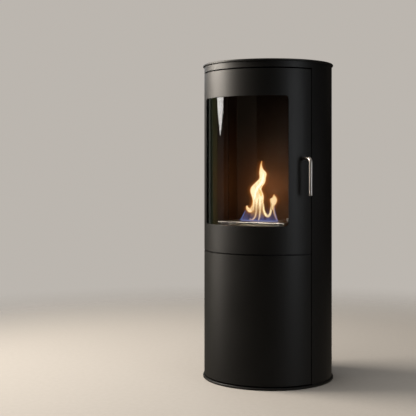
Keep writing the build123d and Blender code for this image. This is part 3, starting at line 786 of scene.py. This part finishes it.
# %% Skirt finishes
skirt_low = 0.534
skirt_high = 0.602
blue_fire = fire(
    "flame_skirt", skirt_low, skirt_high,
    [(0.0, (0.13, 0.19, 0.50)), (0.25, (0.13, 0.12, 0.26)), (0.6, (0.17, 0.11, 0.13)),
     (1.0, (0.16, 0.07, 0.07))],
    [(0.0, 0.38), (0.2, 0.30), (0.5, 0.16), (0.85, 0.0), (1.0, 0.0)],
    wisps=0.6,
)
blue_line = fire(
    "flame_skirt_edge", skirt_low, skirt_high,
    [(0.0, (0.16, 0.27, 0.78)), (0.5, (0.16, 0.25, 0.62)), (1.0, (0.30, 0.24, 0.40))],
    [(0.0, 0.65), (0.5, 0.5), (1.0, 0.0)],
)
foot_line = fire(
    "flame_foot_line", 0.536, 0.544,
    [(0.0, (0.40, 0.42, 0.62)), (1.0, (0.24, 0.30, 0.66))],
    [(0.0, 0.6), (1.0, 0.5)],
)
print(blue_fire.name, blue_line.name, foot_line.name)

# %% [markdown]
# The skirt is a level-ringed tongue, far shallower than it is wide, and its lines are ropes
# along its two ends and its foot. All four stand a fraction of a millimetre over the
# tray's top, so their lowest points are worked out from it.

# %% Blue skirt
foot = tray_top * 1000
skirt_edges = [
    (foot + 0.3, -71.2, 74.4), (542, -69.4, 73.6), (546, -67, 72.4), (553, -62.6, 70.6),
    (560, -58.4, 68.8), (567, -54.6, 67.2), (575, -50, 66), (583, -45, 65.4), (591, -40, 65),
    (598, -34, 64), (602, -26, 58),
]
skirt_lines = {
    "left": (
        [(-50, 577), (-54, 568), (-58.4, 560), (-63.6, 551), (-68.4, 543), (-71.2, foot + 0.6)],
        [0.4, 0.9, 1.0, 1.1, 1.2, 1.2],
    ),
    "right": (
        [(62.2, 598), (60.2, 588), (60.4, 577), (63.4, 562), (68.8, 548), (73.4, foot + 0.8)],
        [0.4, 0.9, 1.0, 1.0, 1.0, 1.0],
    ),
}
foot_path = [
    (-71, foot + 0.5), (-40, foot + 0.7), (0, foot + 0.7), (40, foot + 0.7), (73.6, foot + 0.5),
]
flame.append(tongue("flame_skirt", upright_tongue(skirt_edges, depth=0.2), blue_fire, points=32))
for side, (path, half_widths) in skirt_lines.items():
    rings = rope(path, half_widths)
    flame.append(tongue(f"flame_skirt_{side}", rings, blue_line, points=rope_points))
foot_rings = rope(foot_path, [0.4, 0.9, 0.9, 0.9, 0.4], depth=8.0)
flame.append(tongue("flame_skirt_foot", foot_rings, foot_line, points=rope_points))
print("skirt from", round(skirt_edges[0][0], 1), "to", skirt_edges[-1][0], "mm")

# %% [markdown]
# The flame stays over the slot when a door opens, so it rides on the body. It casts no
# shadow, because a flame hides no light.

# %% Flame on the body
for piece in flame:
    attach(piece, "body")
    piece.visible_shadow = False
print("flame pieces", len(flame))

# %% [markdown]
# ## Floor and surroundings
#
# The stove stands on a plain pale floor that fades into a pale room, so no edge of it shows
# from any side. The room gives the even light. Neither belongs to the object, so both are
# only the stage that it is shown on.

# %% Pale room and floor
floor_radius = 2.8
fade_start = 1.0
fade_end = 2.6
round_steps = 96
room = Finish("pale_room", world=True)
room_light = {"Color": (0.50, 0.467, 0.428, 1.0), "Strength": 1.0}
room.plug(room.output.inputs[0], room.node("ShaderNodeBackground", None, room_light))
scene.world = room.data

ground = Finish("pale_floor")
speckle = ground.noise(60.0, detail=4.0)
from_middle = ground.node("ShaderNodeVectorMath", {"operation": "LENGTH"}, {0: ground.place()}, 1)
ground_colour = ground.mix(speckle, (0.40, 0.375, 0.345), (0.45, 0.425, 0.395))
floor_surface = ground.node(
    "ShaderNodeBsdfPrincipled", None, {"Base Color": ground_colour, "Roughness": 0.7})
clear_surface = ground.node("ShaderNodeBsdfTransparent")
fading = {0: from_middle.rise(fade_start, fade_end), 1: floor_surface, 2: clear_surface}
ground.plug(ground.output.inputs[0], ground.node("ShaderNodeMixShader", None, fading))

form = bmesh.new()
bmesh.ops.create_circle(form, cap_ends=True, segments=round_steps, radius=floor_radius)
floor = finished("floor", form, ground.data, levels=0)
floor.visible_glossy = False
print("floor radius", floor_radius)

# %% [markdown]
# Satin black paint shows what stands round it more than its own colour. A photographer
# hangs black cloth round such a stove and then adds light where it is wanted. The cloth is
# one round curtain, spun from a single upright edge. Its closed bottom gives back a little
# warm light from below. No camera sees it, only the surfaces do.

# %% Black curtain
curtain_radius = 4.0
curtain_low = -0.3
curtain_high = 4.5
cloth = Finish("flag_cloth")
cloth_black = cloth.principled(
    base_color=(0.004, 0.004, 0.004, 1.0), roughness=1.0, specular_ior_level=0.0)
bounce = Finish("floor_bounce")
bounce_light = {"Color": (1.0, 0.86, 0.68, 1.0), "Strength": 0.13}
bounce.plug(bounce.output.inputs[0], bounce.node("ShaderNodeEmission", None, bounce_light))

form = bmesh.new()
upright = [form.verts.new((0, -curtain_radius, z)) for z in (curtain_low, curtain_high)]
strip = form.edges.new(upright)
bmesh.ops.spin(
    form, geom=[strip, *upright], cent=(0, 0, 0), axis=(0, 0, 1), angle=2 * pi,
    steps=round_steps, use_merge=True,
)
low_rim = [edge for edge in form.edges if edge.is_boundary and edge.verts[0].co.z < 0]
bottom = bmesh.ops.holes_fill(form, edges=low_rim)
bottom["faces"][0].material_index = 1
flags = finished("flags", form, cloth_black, levels=0)
flags.data.materials.append(bounce.data)
flags.visible_camera = False
flags.visible_shadow = False
print("curtain faces", len(flags.data.polygons))

# %% [markdown]
# Light cards are plain glowing sheets on a ring round the stove, and again only the
# surfaces see them. The first one is the pointed mark in the glass: a card in the shape of
# a wedge, which the curved window mirrors as a long narrow blade of light.


# %% Cards and the wedge in the glass
def card(name, outline, azimuth, distance, colour, strength):
    """A flat glowing sheet that faces the stove: outline in sideways and height metres."""
    finish = Finish(name)
    glow = {"Color": rgb(colour), "Strength": strength}
    finish.plug(finish.output.inputs[0], finish.node("ShaderNodeEmission", None, glow))
    turn = radians(azimuth)
    spot = Matrix.Translation((distance * sin(turn), -distance * cos(turn), 0))
    place = spot @ Matrix.Rotation(turn, 4, "Z")
    form = bmesh.new()
    corners = [form.verts.new(place @ Vector((across, 0, z))) for across, z in outline]
    form.faces.new(corners)
    sheet = finished(name, form, finish.data, levels=0)
    sheet.visible_camera = False
    sheet.visible_shadow = False
    return sheet


near_ring = 2.2
far_ring = 2.4
wedge_azimuth = -66
wedge_tip = 0.894
wedge_side = [
    (0.318, 1.15), (0.318, 1.128), (0.278, 1.043), (0.195, 0.998), (0.150, 0.970),
    (0.090, 0.938), (0.035, 0.908),
]
other_side = [(-across, z) for across, z in reversed(wedge_side)]
wedge_outline = [*wedge_side, (0, wedge_tip), *other_side]
card("wedge_card", wedge_outline, wedge_azimuth, near_ring, (1.0, 0.96, 0.93), 5.8)
print("wedge corners", len(wedge_outline))

# %% [markdown]
# The other cards are upright panels. The sky card gives the broad band down the left of the
# body, and the low sky card carries it on below the glass. The edge card is a cool rim on
# the far left, and the fill card a cool sheen on the right side. The grip card draws the
# light line along the handle, and the back card is a hint of light from behind. The tray
# card is seen only through the glass, so it lights the tray's steel and not the paint.


# %% Panels of light
def panel(low, high, half):
    """The outline of an upright card between two heights."""
    return [(-half, low), (half, low), (half, high), (-half, high)]


panels = {  # low, high, half width, azimuth, distance, colour, strength
    "sky_card": (1.16, 2.4, 0.7, -69, near_ring, (1.0, 0.91, 0.80), 24.0),
    "edge_card": (1.25, 2.4, 0.8, -128, far_ring, (0.86, 0.93, 1.0), 1.25),
    "fill_card": (0.1, 1.8, 0.5, 74, 3.4, (0.92, 0.96, 1.0), 3.1),
    "grip_card": (0.58, 0.80, 0.22, 121, near_ring, (1.0, 0.94, 0.97), 0.7),
    "back_card": (1.0, 2.4, 0.8, 165, 3.0, (1.0, 0.85, 0.7), 0.04),
    "tray_card": (1.2, 2.2, 0.5, -35, near_ring, (1.0, 0.95, 0.9), 10.0),
    "low_sky_card": (0.14, 0.37, 0.55, -68, near_ring, (1.0, 0.92, 0.82), 7.0),
}
sheets = {}
for name, (low, high, half, azimuth, distance, colour, strength) in panels.items():
    sheets[name] = card(name, panel(low, high, half), azimuth, distance, colour, strength)
sheets["tray_card"].visible_diffuse = False
sheets["tray_card"].visible_glossy = False
sheets["low_sky_card"].visible_diffuse = False
print("panels", len(sheets))

# %% [markdown]
# Dim upright streaks stand side by side in the glass. They are mirror images too, of cards
# that reach a little past the stove's foot and top, each in its own dull olive or brown.
# Each is given by the two angles round the stove between which it stands. They light
# nothing but what is glossy.

# %% Streaks in the glass
streak_low = -0.2
streak_high = 1.16
streaks = [
    (-106, -100, (0.15, 0.16, 0.13)), (-95, -90, (0.08, 0.09, 0.05)),
    (-89, -74, (0.10, 0.105, 0.05)), (-73, -57, (0.075, 0.07, 0.065)),
    (-51, -48, (0.05, 0.045, 0.04)), (-29, 8, (0.04, 0.034, 0.026)),
]
for number, (start, end, colour) in enumerate(streaks):
    half = far_ring * tan(radians(end - start) / 2)
    outline = panel(streak_low, streak_high, half)
    streak = card(f"streak_card_{number}", outline, (start + end) / 2, far_ring, colour, 1.0)
    streak.visible_diffuse = False
print("streaks", len(streaks))

# %% [markdown]
# ## Lamps
#
# One large soft lamp above gives the plain studio level, and a small warm lamp stands
# inside the flame, because a flame lights the walls round it far more than its own picture
# can carry. Neither lamp shows in the glass or in the steel.


# %% Lamps
def lamp(name, data, place, power, colour):
    """Hang a lamp that gives light and isn't seen itself."""
    data.energy = power
    data.color = colour
    hung = bpy.data.objects.new(name, data)
    hung.location = place
    scene.collection.objects.link(hung)
    hung.visible_camera = False
    hung.visible_transmission = False
    hung.visible_glossy = False
    return hung


overhead_place = Vector((-0.4, -0.6, 3.2))
overhead_target = Vector((0, 0, 0.5))
disk = bpy.data.lights.new("overhead", "AREA")
disk.shape = "DISK"
disk.size = 2.0
overhead = lamp("overhead", disk, overhead_place, 45, (1.0, 0.97, 0.93))
overhead.rotation_euler = (overhead_target - overhead_place).to_track_quat("-Z", "Y").to_euler()

ball = bpy.data.lights.new("flame_glow", "POINT")
ball.shadow_soft_size = 0.02
lamp("flame_glow", ball, (-0.03, -0.02, 0.655), 0.55, (1.0, 0.42, 0.14))
print("lamps", len(bpy.data.lights))
